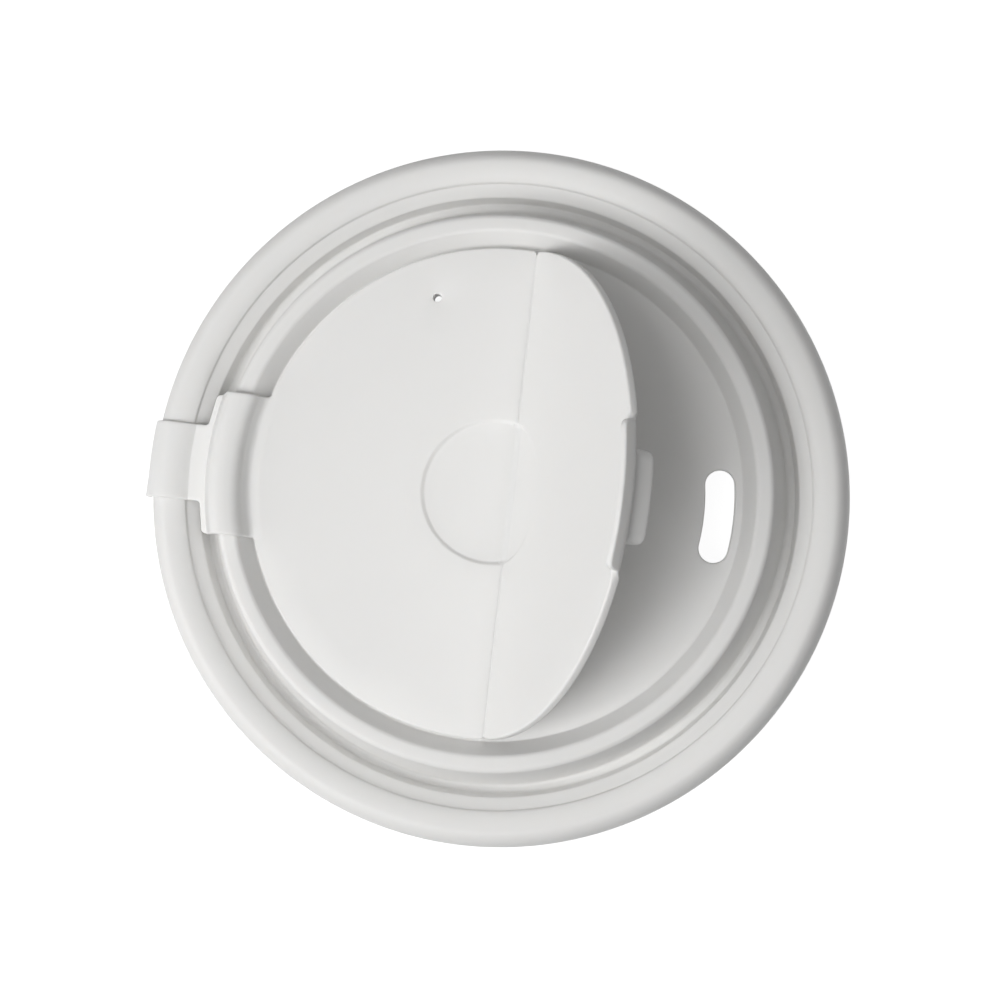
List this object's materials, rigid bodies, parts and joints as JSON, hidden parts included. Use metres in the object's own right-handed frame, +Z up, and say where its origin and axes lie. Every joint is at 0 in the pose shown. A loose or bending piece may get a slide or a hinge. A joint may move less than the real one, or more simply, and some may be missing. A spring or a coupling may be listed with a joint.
{
  "type": "cup lid",
  "caption": "Round reusable drinking-cup lid with a clip-on closure whose hinged flap shuts the drinking slot.",
  "frame": {"origin": "centre of the lid's footprint at the foot of the skirt, where it stands on a table", "axes": "+Z up along the lid's axis, +X from the strap towards the drinking slot, +Y along the hinge line"},
  "size_m": [0.0951, 0.094, 0.038],
  "materials": {
    "lid_plastic": "satin",
    "closure_plastic": "satin"
  },
  "bodies": {
    "lid": {"lid_body": "lid_plastic", "closure_strap": "closure_plastic"},
    "flap": {"flap": "closure_plastic"}
  },
  "joints": [
    {"name": "flap_hinge", "type": "hinge", "parent": "lid", "child": "flap", "pos_m": [0.0023, 0, 0.0099], "axis": [0, -1, 0], "range_deg": [-58, 117]}
  ]
}
